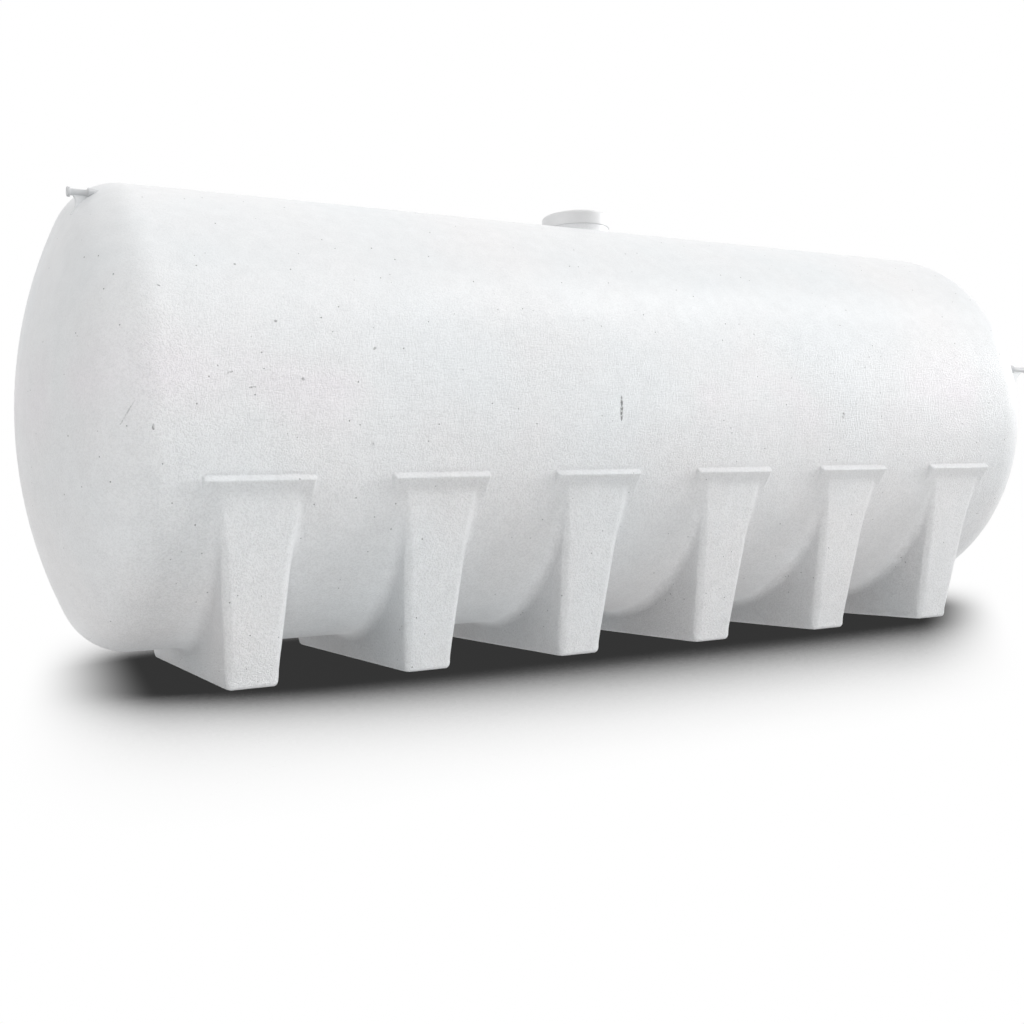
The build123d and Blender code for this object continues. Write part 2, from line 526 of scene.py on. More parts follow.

# Pinholes and pale specks: their cells a metre, their radius as a share of a cell, how much darker
# a pinhole is painted, as painted shade in the hole, and how deep against the grain, and the
# specks' share and colour
PINHOLES = {"cells": 22, "radius": 0.090}
SPECKS = {"cells": 26, "radius": 0.080}
PINHOLE_PAINTED_SHADE = 0.35
PINHOLE_DEPTH = 0.4
SPECKS_A_PINHOLE = 0.5
SPECK_COLOUR = (0.9, 0.9, 0.9)


@dataclass(frozen=True)
class Plastic:
    """A moulded plastic finish: its colour, gloss and the grain its mould gives it."""

    name: str
    colour: Triple
    roughness: float
    grain_size: float
    grain_depth: float
    speck_share: float = 0.0
    # How much the grain's dips are darkened in the colour: painted shade
    grain_painted_shade: float = 0.0
    # Whether the grain changes by zone and a painted pink reflection shows in a band of heights
    zoned_grain_and_reflection: bool = False
    marks: tuple[Mark, ...] = ()

    def material(self) -> bpy.types.Material:
        """Builds the material from its procedural parts.

        Returns:
            The new material.
        """
        made = bpy.data.materials.new(self.name)
        paint = Nodes(made)
        place = paint.place()
        shader = paint.add("ShaderNodeBsdfPrincipled")
        relief = self.relief(paint, place)
        # Painted shade: the colour is darkened in the grain's dips, stronger where the grain is
        # stronger
        painted_grain_shade = paint.fit(relief, *GRAIN_SHADE_SPAN, 1 - self.grain_painted_shade, 1)
        colour = paint.dim(self.mottle(paint, place), painted_grain_shade)
        if self.speck_share:
            pinholes = paint.dots(place, **PINHOLES, share=self.speck_share)
            specks = paint.dots(place, **SPECKS, share=self.speck_share * SPECKS_A_PINHOLE)
            # Painted shade: each pinhole is darkened as the shade in its hole, and sunk into the
            # bump below
            colour = paint.dim(colour, paint.fit(pinholes, 0, 1, 1, PINHOLE_PAINTED_SHADE))
            colour = paint.blend(specks, colour, SPECK_COLOUR)
            relief = paint.maths("SUBTRACT", relief, paint.times(pinholes, PINHOLE_DEPTH))
        colour = self.scuffs(paint, place, colour)
        paint.give(colour, shader.inputs["Base Color"])
        paint.give(self.gloss(paint, place), shader.inputs["Roughness"])
        paint.give(paint.bump(relief, self.grain_depth), shader.inputs["Normal"])
        paint.put_out("ShaderNodeOutputMaterial", shader.outputs["BSDF"])
        return made

    def tint(self, red: float, green: float, blue: float) -> Triple:
        """The plastic's colour with each part scaled."""
        return tuple(part * by for part, by in zip(self.colour, (red, green, blue)))

    def mottle(self, paint: Nodes, place: Socket) -> Socket:
        """Soft patches a shade lighter and darker than the plastic, with a faint warm tint, and on
        a zoned shell a painted pink reflection in a band of heights.

        Args:
            paint: The material's nodes.
            place: Where the pattern is read.

        Returns:
            The colour.
        """
        wide = paint.noise(place, scale=0.9, detail=3)
        small = paint.noise(place, scale=14.0, detail=4)
        cool = self.tint(red=0.975, green=0.985, blue=0.99)
        warm = self.tint(red=1.02, green=1.0, blue=0.995)
        tone = paint.blend(paint.fit(wide, *NOISE_SPAN, 0, 1), cool, warm)
        # Painted reflection: a faint pink tint in a band of heights from 1.0 to 1.6 m, in patches
        if self.zoned_grain_and_reflection:
            height = paint.split(place)[2]
            rise, fall = paint.fit(height, *REFLECTION_TINT_RISE), paint.fit(height, *REFLECTION_TINT_FALL)
            reflection_band = paint.maths("MINIMUM", rise, fall)
            painted_reflection = paint.times(reflection_band, paint.fit(wide, *REFLECTION_TINT_PATCHES))
            tone = paint.blend(painted_reflection, tone, REFLECTION_TINT_COLOUR)
        return paint.dim(tone, paint.fit(small, *ROUGH_NOISE_SPAN, 0.975, 1.02))

    def scuffs(self, paint: Nodes, place: Socket, colour: Socket) -> Socket:
        """Darkens the plastic along each mark, broken up by a fine noise.

        Args:
            paint: The material's nodes.
            place: Where the marks are read.
            colour: The plastic without them.

        Returns:
            The plastic with them.
        """
        for mark in self.marks:
            broken = paint.fit(paint.noise(place, scale=60.0, detail=2), *SCUFF_GAPS)
            amount = paint.times(paint.stroke(place, mark), broken)
            colour = paint.dim(colour, paint.fit(amount, 0, 1, 1, 1 - mark.depth))
        return colour

    def gloss(self, paint: Nodes, place: Socket) -> Socket:
        """Roughness that wanders a little round its own value.

        Args:
            paint: The material's nodes.
            place: Where it is read.

        Returns:
            The roughness.
        """
        worn = paint.noise(place, scale=5.0, detail=4)
        swing = (self.roughness + by for by in GLOSS_SWING)
        return paint.fit(worn, *ROUGH_NOISE_SPAN, *swing)

    def relief(self, paint: Nodes, place: Socket) -> Socket:
        """Height of the mould's hammered grain, about zero: two sizes of noise, in patches.

        On a zoned shell it is faint on the crown and on the dished ends, and stronger on
        the belly and the feet.

        Args:
            paint: The material's nodes.
            place: Where the grain is read.

        Returns:
            The height, before the depth scales it.
        """
        coarse = paint.noise(place, scale=1 / self.grain_size, detail=2, twist=0.9)
        fine = paint.noise(place, scale=FINE_GRAIN / self.grain_size, detail=2, twist=0.5)
        height = paint.maths("ADD", coarse, paint.times(fine, FINE_SHARE))
        height = paint.maths("SUBTRACT", height, (1 + FINE_SHARE) / 2)
        amount = paint.fit(paint.noise(place, scale=1.7, detail=2), *NOISE_SPAN, 0.7, 1.0)
        if self.zoned_grain_and_reflection:
            along, _, up = paint.split(place)
            from_middle = paint.maths("ABSOLUTE", along, 0)
            crown, belly = paint.fit(up, *CROWN_GRAIN), paint.fit(up, *BELLY_GRAIN)
            amount = paint.times(amount, crown, paint.fit(from_middle, *END_GRAIN), belly)
        return paint.times(height, amount)


@dataclass
class Barrel:
    """The round shell's sizes, measured on the frame except for the wall."""

    radius: float
    axis_height: float
    half_length: float
    wall: float = 0.012

    @classmethod
    def from_frame(cls) -> "Barrel":
        """Measures the CAD barrel."""
        low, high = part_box("barrel")
        return cls((high.y - low.y) / 2, (high.z + low.z) / 2, high.x)

    def half_width(self, height: Numbers) -> Numbers:
        """Distance from the middle plane to the skin at a height above ground."""
        return np.sqrt(self.radius**2 - (height - self.axis_height) ** 2)

    def angle_of(self, side: Numbers, height: Numbers) -> Numbers:
        """Angle round the axis of a place beside the middle plane."""
        return np.arctan2(side, self.axis_height - height)

    def place(self, along: Array, angle: Array, reach: Array) -> Array:
        """Points at an X, an angle round the axis and a distance from it."""
        height = self.axis_height - reach * np.cos(angle)
        return points_at(along, -reach * np.sin(angle), height)


@dataclass
class FootSizes:
    """The feet's and ledges' sizes, the same for all of them.

    The first four are measured on the frame. The stand is how far the ledge's nose lies
    outside the barrel, and the rounds are the radii and widths of the soft corners.
    """

    top_height: float
    top_half_depth: float
    ledge_top: float
    ledge_half_length: float
    base_half_width: float = 0.112
    side_slope: float = math.tan(math.radians(4.33))
    face_slope: float = math.tan(math.radians(14.75))
    root_radius: float = 0.055
    face_edge_radius: float = 0.042
    base_edge_radius: float = 0.014
    toe_radius: float = 0.020
    ledge_nose_drop: float = 0.022
    ledge_nose_round: float = 0.010
    ledge_stand: float = 0.033
    ledge_end_radius: float = 0.014
    ledge_root_round: float = 0.006

    @classmethod
    def from_frame(cls) -> "FootSizes":
        """Measures the first CAD foot and its ledge on the near side.

        Returns:
            The sizes.
        """
        foot_low, foot_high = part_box("foot_1")
        ledge_low, ledge_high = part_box("rib_1_front")
        return cls(foot_high.z, foot_high.y, ledge_high.z, (ledge_high.x - ledge_low.x) / 2)

    @property
    def base_half_depth(self) -> float:
        """Distance from the middle plane to the foot's face at the ground."""
        return self.top_half_depth - self.top_height * self.face_slope

    @property
    def ledge_nose(self) -> float:
        """Height of the ledge's nose."""
        return self.ledge_top - self.ledge_nose_drop


@dataclass(frozen=True)
class Detail:
    """How many columns each stretch of a bay's profile has, from its middle outwards."""

    face: int
    face_edge: int
    flank: int
    root: int
    beside: int
    ledge_end: int
    plain: int


OUTER_DETAIL = Detail(face=6, face_edge=9, flank=7, root=12, beside=3, ledge_end=12, plain=6)
INNER_DETAIL = Detail(face=3, face_edge=3, flank=3, root=5, beside=2, ledge_end=2, plain=2)


@dataclass
class MouldedBay:
    """One bay of the moulding: a length of barrel with its hollow foot and two ledges.

    It reaches from left to right along X. The rows are the angles round the axis that all
    bays and ends share.
    """

    number: int
    barrel: Barrel
    foot: FootSizes
    rows: Array
    left: float
    right: float

    # Points of the foot's side outline: on each straight line, and round the toe
    LINE_STEPS = 400
    TOE_STEPS = 60

    # Where the outline goes over to the barrel, as a share of the ledge's height
    SHOULDER = 0.4

    # Heights at which the ledge is worked out: how far past it they reach, and how many
    PAST_LEDGE = (0.06, 0.03)
    LEDGE_STEPS = 700

    # How far inside the skin the ledge runs on, away from its own height
    LEDGE_SUNK = 0.03

    # The angle round the toe over which the face's edge radius becomes the base's
    TOE_FADE = math.radians(3)

    # The least edge radius, turn of the columns and width of the flank, which keep columns
    # apart where the foot fades out
    LEAST_EDGE = 0.004
    LEAST_SPREAD = math.radians(14)
    LEAST_FLANK = 0.012

    # Where the columns round the ledge's end start and stop, in its end radii, and how
    # steeply the ledge falls past it
    LEDGE_END_SPAN = (-1.4, 0.5)
    LEDGE_END_FALL = 5

    def foot_reach(self, inset: float) -> Array:
        """Distance from the axis to the foot's face or bottom, at each row.

        The foot's side outline is a sloping front line and a level bottom line with a
        rounded toe between them. It is drawn in Y and Z, turned into angle and distance,
        and read off at the rows. Above the ledge the barrel's own radius holds.

        Args:
            inset: 0, or the wall's thickness.

        Returns:
            One distance for each row.
        """
        foot, barrel = self.foot, self.barrel
        lean = math.atan(foot.face_slope)
        bend = math.pi / 2 + lean
        toe = foot.toe_radius - inset / 2
        front_base = foot.base_half_depth - inset / math.cos(lean) + inset * foot.face_slope
        front_top = (front_base + foot.face_slope * (foot.top_height - inset), foot.top_height)
        toe_y, toe_z = front_base - toe * math.tan(math.pi / 2 - bend / 2), inset + toe
        toe_end = (toe_y + toe * math.sin(bend), toe_z - toe * math.cos(bend))
        shoulder = foot.top_height + self.SHOULDER * (foot.ledge_top - foot.top_height)
        outline = np.concatenate(
            [
                [(0.0, inset)],
                line((0.0, inset), (toe_y, inset), self.LINE_STEPS),
                arc((toe_y, toe_z), toe, -90, math.degrees(bend) - 90, self.TOE_STEPS),
                line(toe_end, front_top, self.LINE_STEPS),
                [front_top, (barrel.half_width(shoulder) - inset, shoulder)],
            ]
        )
        angle = barrel.angle_of(outline[:, 0], outline[:, 1])
        reach = np.hypot(outline[:, 0], outline[:, 1] - barrel.axis_height)
        skin = barrel.radius - inset
        return np.maximum(np.interp(np.abs(self.rows), angle, reach, right=skin), skin)

    def ledge_reach(self) -> Array:
        """Distance from the axis to the ledge's rounded nose, at each row.

        Beyond the barrel's skin it stands out by the lesser of two lines: a steep one down
        from its top edge and a long one down to the foot's face, with a rounded nose.

        Returns:
            One distance for each row.
        """
        foot, barrel = self.foot, self.barrel
        below, above = self.PAST_LEDGE
        height = np.linspace(foot.top_height - below, foot.ledge_top + above, self.LEDGE_STEPS)
        face_stand = foot.top_half_depth - barrel.half_width(foot.top_height)
        share = (height - foot.top_height) / (foot.ledge_nose - foot.top_height)
        under = face_stand + (foot.ledge_stand - face_stand) * share
        over = foot.ledge_stand * (foot.ledge_top - height) / foot.ledge_nose_drop
        stand = -smooth_larger(-under, -over, foot.ledge_nose_round)
        side = barrel.half_width(height) + stand
        angle = barrel.angle_of(side, height)
        reach = np.hypot(side, height - barrel.axis_height)
        order = np.argsort(angle)
        low = barrel.radius - self.LEDGE_SUNK
        return np.interp(np.abs(self.rows), angle[order], reach[order], left=low, right=low)

    def skin(self, inset: float, detail: Detail) -> Array:
        """The outer skin, or the inner one at an inset, as a grid of points.

        At each angle round the axis the distance along X follows a profile: barrel line,
        concave root arc, drafted flank, convex edge arc and the foot's face. With a and b
        the arcs' radii and d the foot's stand, both arcs turn by the lesser of the flank's
        steepness and the angle whose cosine is 1 - d / (a + b), so the foot fades out where
        its face meets the barrel. The ledge is joined on by a smooth maximum.

        Args:
            inset: 0, or the wall's thickness.
            detail: Column counts.

        Returns:
            An array of rows by columns by 3.
        """
        foot, barrel = self.foot, self.barrel
        skin = barrel.radius - inset
        angle = np.abs(self.rows)[:, None]
        stand = (self.foot_reach(inset) - skin)[:, None]
        toe_angle = barrel.angle_of(foot.base_half_depth, 0.0)
        on_face = np.clip((angle - toe_angle) / self.TOE_FADE + 0.5, 0, 1)
        edge = foot.base_edge_radius + (foot.face_edge_radius - foot.base_edge_radius) * on_face
        edge = np.maximum(edge - inset, self.LEAST_EDGE)
        root = foot.root_radius + inset
        ledge_angle = barrel.angle_of(foot.top_half_depth, foot.top_height)
        lean = foot.side_slope * np.cos(np.minimum(angle, ledge_angle))
        steepest = math.pi / 2 - np.arctan(lean)
        arcs = edge + root
        bend = np.minimum(steepest, np.arccos(np.clip(1 - stand / arcs, -1, 1)))
        flank = np.maximum(stand - arcs * (1 - np.cos(bend)), 0) / np.maximum(np.sin(bend), 1e-6)
        line_start = foot.base_half_width - inset + foot.side_slope * barrel.axis_height
        root_top = root * (1 - np.cos(bend))
        x_root_top = line_start - lean * (skin + root_top)
        x_root = x_root_top + root * np.sin(bend)
        x_flank_top = x_root_top - flank * np.cos(bend)
        x_face = x_flank_top - edge * np.sin(bend)

        def height_at(x: Array) -> Array:
            """The profile's height at any place along it.

            Args:
                x: Distances along X from the foot's middle.

            Returns:
                Distances from the axis to the skin.
            """
            hollow = np.sqrt(np.maximum(root**2 - np.maximum(x_root - x, 0) ** 2, 0))
            crest = np.sqrt(np.maximum(edge**2 - np.maximum(x - x_face, 0) ** 2, 0))
            concave, convex = skin + root - hollow, skin + stand - edge + crest
            straight = skin + root_top + (x_root_top - x) * np.tan(bend)
            height = np.where(x <= x_flank_top, convex, straight)
            height = np.where(x >= x_root_top, concave, height)
            height = np.where(x >= x_root, skin, height)
            if inset:
                return height
            end = foot.ledge_end_radius
            past = x - (foot.ledge_half_length - end)
            fall = end - np.sqrt(np.maximum(end**2 - np.clip(past, 0, end) ** 2, 0))
            fall = fall + self.LEDGE_END_FALL * np.maximum(past - end, 0)
            return smooth_larger(height, self.ledge_reach()[:, None] - fall, foot.ledge_root_round)

        def share(count: int) -> Array:
            """Even steps from 0 to just below 1, in a row."""
            return (np.arange(count) / count)[None, :]

        spread = np.maximum(bend, self.LEAST_SPREAD)
        grid_flank = np.minimum(x_flank_top, x_root_top - self.LEAST_FLANK)
        grid_root = x_root_top + root * np.sin(spread)
        grid_face = grid_flank - edge * np.sin(spread)
        ledge_from, ledge_to = (
            foot.ledge_half_length + radii * foot.ledge_end_radius for radii in self.LEDGE_END_SPAN
        )
        every_row = np.ones_like(angle)
        stretches = [
            grid_face * share(detail.face),
            grid_flank - edge * np.sin(spread * (1 - share(detail.face_edge))),
            grid_flank + (x_root_top - grid_flank) * share(detail.flank),
            x_root_top + root * (np.sin(spread) - np.sin(spread * (1 - share(detail.root)))),
            grid_root + (ledge_from - grid_root) * share(detail.beside),
            every_row * (ledge_from + (ledge_to - ledge_from) * share(detail.ledge_end)),
        ]
        low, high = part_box(f"foot_{self.number}")
        middle = (low.x + high.x) / 2
        halves = []
        for direction, bay_edge in ((-1, self.left), (1, self.right)):
            plain = np.linspace(ledge_to, abs(bay_edge - middle), detail.plain + 1)[None, :]
            x = np.concatenate([*stretches, every_row * plain], axis=1)
            halves.append((middle + direction * x, height_at(x)))
        along, reach = (
            np.concatenate([left_half[:, :0:-1], right_half], axis=1)
            for left_half, right_half in zip(*halves)
        )
        return barrel.place(along, self.rows[:, None], reach)

    def build(self, material: bpy.types.Material) -> bpy.types.Object:
        """Joins the outer and the inner skin with two rims and dresses the bay.

        Args:
            material: The finish.

        Returns:
            The new piece.
        """
        outer = self.skin(0.0, OUTER_DETAIL)
        inner = self.skin(self.barrel.wall, INNER_DETAIL)
        rows, columns = outer.shape[:2]
        inner_columns = inner.shape[1]
        first = rows * columns
        row = np.arange(rows)
        outer_left, inner_left = row * columns, first + row * inner_columns
        outer_right, inner_right = outer_left + columns - 1, inner_left + inner_columns - 1
        faces = [
            grid_faces(rows, columns),
            grid_faces(rows, inner_columns, first, turned=True),
            ring_faces(outer_left, inner_left),
            ring_faces(inner_right, outer_right),
        ]
        points = np.concatenate([outer.reshape(-1, 3), inner.reshape(-1, 3)])
        n = self.number
        nodes = ["barrel", f"foot_{n}", f"rib_{n}_front", f"rib_{n}_back"]
        return make_piece(f"moulded_bay_{n}", points, faces, material, nodes)


def span(node: str) -> tuple[float, float]:
    """Least and greatest distance along X from the tank's middle, for a node at one end."""
    low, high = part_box(node)
    return min(abs(low.x), abs(high.x)), max(abs(low.x), abs(high.x))


@dataclass
class DishedEnd:
    """A shallow dished end that turns into the barrel round a large edge."""

    hand: Hand
    barrel: Barrel
    rows: Array
    crown_radius: float = 2.286
    edge_radius: float = 0.290

    # Steps along the crown and round the edge, on the outer and the inner skin
    OUTER_STEPS = (34, 22)
    INNER_STEPS = (12, 8)

    def profile(self, tip: float, inset: float, steps: tuple[int, int]) -> tuple[Array, Array]:
        """X and distance from the axis, from the tip to the barrel.

        A crown arc about a centre on the axis meets an edge arc whose centre lies one edge
        radius inside the barrel, where both have the same tangent.

        Args:
            tip: X of the outer skin's tip.
            inset: 0, or the wall's thickness.
            steps: Steps along the crown and round the edge.

        Returns:
            Both, one number for each point.
        """
        centre_reach = self.barrel.radius - self.edge_radius
        crown_angle = math.asin(centre_reach / (self.crown_radius - self.edge_radius))
        crown, edge = self.crown_radius - inset, self.edge_radius - inset
        bend = np.linspace(0, crown_angle, steps[0] + 1)[1:]
        turned = np.linspace(crown_angle, math.pi / 2, steps[1] + 1)[1:]
        crown_x = tip - self.crown_radius + crown * np.cos(bend)
        edge_x = self.barrel.half_length + edge * np.cos(turned)
        reach = [crown * np.sin(bend), centre_reach + edge * np.sin(turned)]
        return np.concatenate([crown_x, edge_x]), np.concatenate(reach)

    def build(self, material: bpy.types.Material) -> bpy.types.Object:
        """Turns the outer and inner profiles about the barrel's axis into one closed shell.

        Args:
            material: The finish.

        Returns:
            The new piece.
        """
        node = f"{self.hand.word}_end"
        wall, height, side = self.barrel.wall, self.barrel.axis_height, self.hand.value
        tip = span(node)[1]
        outer = self.profile(tip, 0.0, self.OUTER_STEPS)
        inner = self.profile(tip, wall, self.INNER_STEPS)
        along, reach = (np.concatenate([out, within[::-1]]) for out, within in zip(outer, inner))
        grid = self.barrel.place(side * along, self.rows[:, None], reach)
        poles = [(side * tip, 0.0, height), (side * (tip - wall), 0.0, height)]
        points, faces = capped_grid(grid, poles)
        name = f"{self.hand.word}_end_shell"
        return make_piece(name, points, self.hand.outward(faces), material, [node])


@dataclass
class ManholeNeck:
    """The low upstand on the crown, flared onto the barrel at its foot.

    The wall is open inside and runs down into the barrel's hole, where it ends inside the
    barrel's wall, the buried depth below its skin.
    """

    barrel: Barrel
    wall: float = 0.022
    flare: float = 0.016
    flare_top: float = 0.030
    rim_radius: float = 0.006
    hole_edge: float = 0.004
    buried: float = 0.011
    steps: int = 160
    flare_steps: int = 9
    rim_steps: int = 6

    def build(self, material: bpy.types.Material) -> bpy.types.Object:
        """Carries the neck's section round its axis, with its foot let down onto the barrel.

        At each angle the section's heights count from the barrel's skin below it at its
        foot, and from the level rim at its top, so the flare follows the crown's saddle.

        Args:
            material: The finish.

        Returns:
            The new piece.
        """
        low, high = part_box("manhole_neck")
        middle = (low.x + high.x) / 2
        outer = (high.x - low.x) / 2
        inner = outer - self.wall
        flare, rim = self.flare, self.rim_radius
        collar = arc((outer + flare, flare), flare, -90, -180, self.flare_steps)
        foot = np.concatenate([collar, [(outer, self.flare_top)]])
        outer_rim = arc((outer - rim, -rim), rim, 0, 90, self.rim_steps)
        inner_rim = arc((inner + rim, -rim), rim, 90, 180, self.rim_steps)
        crest = np.concatenate([outer_rim, inner_rim])
        deep = [(inner, -self.hole_edge), (inner, -self.buried), (outer + flare, -self.buried)]

        def ring(section: Array, from_skin: bool) -> Array:
            """Points of a section round the axis.

            Args:
                section: Distances from the axis, and heights.
                from_skin: Whether the heights count from the barrel's skin, or from the rim.

            Returns:
                The points, by steps and by places in the section.
            """
            x, y = turn(section[:, 0], self.steps)
            skin = self.barrel.axis_height + np.sqrt(self.barrel.radius**2 - y**2)
            return points_at(middle + x, y, (skin if from_skin else high.z) + section[:, 1])

        grid = np.concatenate([ring(foot, True), ring(crest, False), ring(np.array(deep), True)], 1)
        rows, columns = grid.shape[:2]
        start = np.arange(rows) * columns
        faces = [grid_faces(rows, columns, turned=True), ring_faces(start + columns - 1, start)]
        points = grid.reshape(-1, 3)
        return make_piece("neck_upstand", points, faces, material, ["manhole_neck"])


@dataclass
class ManholeLid:
    """The round cover: a faintly domed top, a rounded edge and a skirt that tapers down.

    The skirt ends in a rounded lip, and inside it the cover lies on the neck's rim.
    """

    top_rise: float = 0.006
    edge_radius: float = 0.014
    edge_start: float = 84.0
    skirt_taper: float = 0.004
    skirt_wall: float = 0.007
    lip: float = 0.002
    lip_flat: float = 0.0005
    dome_steps: int = 13
    edge_steps: int = 10
    lip_steps: int = 4
    steps: int = 192

    def build(self, material: bpy.types.Material) -> bpy.types.Object:
        """Turns the lid's section about its upright axis.

        Args:
            material: The finish.

        Returns:
            The new piece.
        """
        low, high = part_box("lid")
        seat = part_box("manhole_neck")[1].z
        middle = (low.x + high.x) / 2
        radius = (high.x - low.x) / 2
        inside = radius - self.skirt_wall
        edge, lip = self.edge_radius, self.lip
        edge_z, lip_z = high.z - self.top_rise - edge, low.z + lip
        skirt = radius - self.skirt_taper
        reach = np.linspace(0, radius - edge, self.dome_steps + 1)[1:]
        section = np.concatenate(
            [
                np.stack([reach, high.z - self.top_rise * (reach / (radius - edge)) ** 2], axis=-1),
                arc((radius - edge, edge_z), edge, self.edge_start, 0, self.edge_steps),
                line((radius, edge_z), (skirt, lip_z), self.lip_steps),
                arc((skirt - lip, lip_z), lip, 0, -90, self.lip_steps),
                [(inside + self.lip_flat, low.z), (inside, lip_z), (inside, seat)],
                [(inside / 2, seat)],
            ]
        )
        x, y = turn(section[:, 0], self.steps)
        grid = points_at(middle + x, y, section[:, 1])
        points, faces = capped_grid(grid, [(middle, 0.0, high.z), (middle, 0.0, seat)])
        return make_piece("lid_cover", points, faces, material, ["lid"])


@dataclass
class PipeStub:
    """A capped pipe stub on an end, with the thin web under it."""

    hand: Hand
    barrel: Barrel
    steps: int = 40

    # The collar where the pipe leaves the skin, how deep it starts in the skin, how far the
    # pipe reaches into its cap, and the cap's play round it
    collar: float = 0.010
    collar_sunk: float = 0.004
    into_cap: float = 0.004
    cap_play: float = 0.001

    # The cap's rounded rim, its hollow face, and where that face starts and ends
    cap_edge: float = 0.003
    cap_hollow: float = 0.0015
    cap_hollow_span: tuple[float, float] = (0.6, 0.5)

    # The web's outer edge: how it bends in, and how far it stands out at its lower end; and
    # how far its inner edge lies inside the skin
    web_bend: float = 1.6
    web_stand: float = 0.004
    web_sunk: float = 0.009

    # Steps round the collar, round each of the cap's rims, down the web and across its edge
    COLLAR_STEPS = 8
    RIM_STEPS = 5
    WEB_STEPS = 21
    WEB_EDGE_STEPS = 10

    def turned(
        self, name: str, section: Array, node: str, material: bpy.types.Material
    ) -> bpy.types.Object:
        """Turns a section about the pipe's own axis.

        Args:
            name: The piece's name.
            section: Distance out from the tank's middle and from the pipe's axis, starting
                and ending on that axis.
            node: The CAD node it stands for.
            material: The finish.

        Returns:
            The new piece.
        """
        low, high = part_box(f"{self.hand.word}_pipe")
        side, rise = (low.y + high.y) / 2, (low.z + high.z) / 2
        y, z = turn(section[1:-1, 1], self.steps)
        along = self.hand.value * section[:, 0]
        grid = points_at(along[1:-1], side + y, rise + z)
        points, faces = capped_grid(grid, [(along[0], side, rise), (along[-1], side, rise)])
        return make_piece(name, points, self.hand.outward(faces), material, [node])

    def build(self, pipe_finish: bpy.types.Material, shell_finish: bpy.types.Material) -> None:
        """Builds the pipe, its cap and its web.

        Args:
            pipe_finish: The pipe's and the cap's finish.
            shell_finish: The web's.
        """
        word = self.hand.word
        pipe_low, pipe_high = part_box(f"{word}_pipe")
        cap_low, cap_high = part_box(f"{word}_pipe_cap")
        pipe_radius = (pipe_high.z - pipe_low.z) / 2
        cap_radius = (cap_high.z - cap_low.z) / 2
        root = span(f"{word}_pipe")[0]
        skin = span(f"{word}_pipe_web")[0]
        cap_back, tip = span(f"{word}_pipe_cap")
        flare, edge = self.collar, self.cap_edge
        hidden = cap_back + self.into_cap
        pipe = np.concatenate(
            [
                [(root, 0.0), (root, pipe_radius)],
                [(skin - self.collar_sunk, pipe_radius + flare)],
                arc((skin + flare, pipe_radius + flare), flare, -180, -90, self.COLLAR_STEPS),
                [(hidden, pipe_radius), (hidden, 0.0)],
            ]
        )
        self.turned(f"{word}_stub_pipe", pipe, f"{word}_pipe", pipe_finish)
        rim, floor = (cap_radius * share for share in self.cap_hollow_span)
        hollow = tip - self.cap_hollow
        cap = np.concatenate(
            [
                [(cap_back, 0.0), (cap_back, pipe_radius + self.cap_play)],
                arc((cap_back + edge, cap_radius - edge), edge, 180, 90, self.RIM_STEPS),
                arc((tip - edge, cap_radius - edge), edge, 90, 0, self.RIM_STEPS),
                [(tip, rim), (hollow, floor), (hollow, 0.0)],
            ]
        )
        self.turned(f"{word}_stub_cap", cap, f"{word}_pipe_cap", pipe_finish)
        self.web(shell_finish)

    def web(self, material: bpy.types.Material) -> bpy.types.Object:
        """The web: a plate whose outer edge is a hollow curve from the pipe to the end's skin.

        Across its thickness the outer edge draws back by a quarter round, and its inner edge
        stays inside the end's wall.

        Args:
            material: The finish.

        Returns:
            The new piece.
        """
        node = f"{self.hand.word}_pipe_web"
        low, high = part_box(node)
        pipe_low, pipe_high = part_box(f"{self.hand.word}_pipe")
        side = (low.y + high.y) / 2
        half = (high.y - low.y) / 2
        outer = span(node)[1]
        top = (pipe_low.z + pipe_high.z) / 2
        share = np.linspace(0, 1, self.WEB_STEPS + 1)
        height = top + (low.z - top) * share
        reach = np.hypot(side, height - self.barrel.axis_height)
        skin = self.barrel.half_length + self.skin_out(reach)
        hollow = (outer - skin) * (1 - share) ** self.web_bend + self.web_stand
        around = np.linspace(0, math.pi, self.WEB_EDGE_STEPS + 1)[:, None]
        rim = skin + hollow - half * (1 - np.sin(around))
        sunk = (skin - self.web_sunk)[None, :]
        across = side + half * np.concatenate([[[1]], np.cos(around), [[-1]]])
        along = self.hand.value * np.concatenate([sunk, rim, sunk])
        grid = points_at(along, across, height)
        points, faces = capped_grid(grid, grid[:, [0, -1]].mean(axis=0))
        name = f"{self.hand.word}_stub_web"
        return make_piece(name, points, self.hand.outward(faces), material, [node])

    def skin_out(self, reach: Array) -> Array:
        """How far past the barrel the end's edge lies, at a distance from the axis."""
        edge = DishedEnd.edge_radius
        return np.sqrt(edge**2 - (reach - self.barrel.radius + edge) ** 2)


@dataclass(frozen=True)
class Lamp:
    """A distant lamp: its direction in degrees round from +X to the near side and up."""

    name: str
    around: float
    rise: float
    spread: float
    strength: float


LAMPS = (
    Lamp("key_lamp", around=14, rise=14, spread=15, strength=1.4),
    Lamp("high_lamp", around=38, rise=47, spread=15, strength=0.95),
    Lamp("left_lamp", around=165, rise=10, spread=60, strength=0.60),
    Lamp("low_lamp", around=99, rise=-55, spread=40, strength=1.52),
)


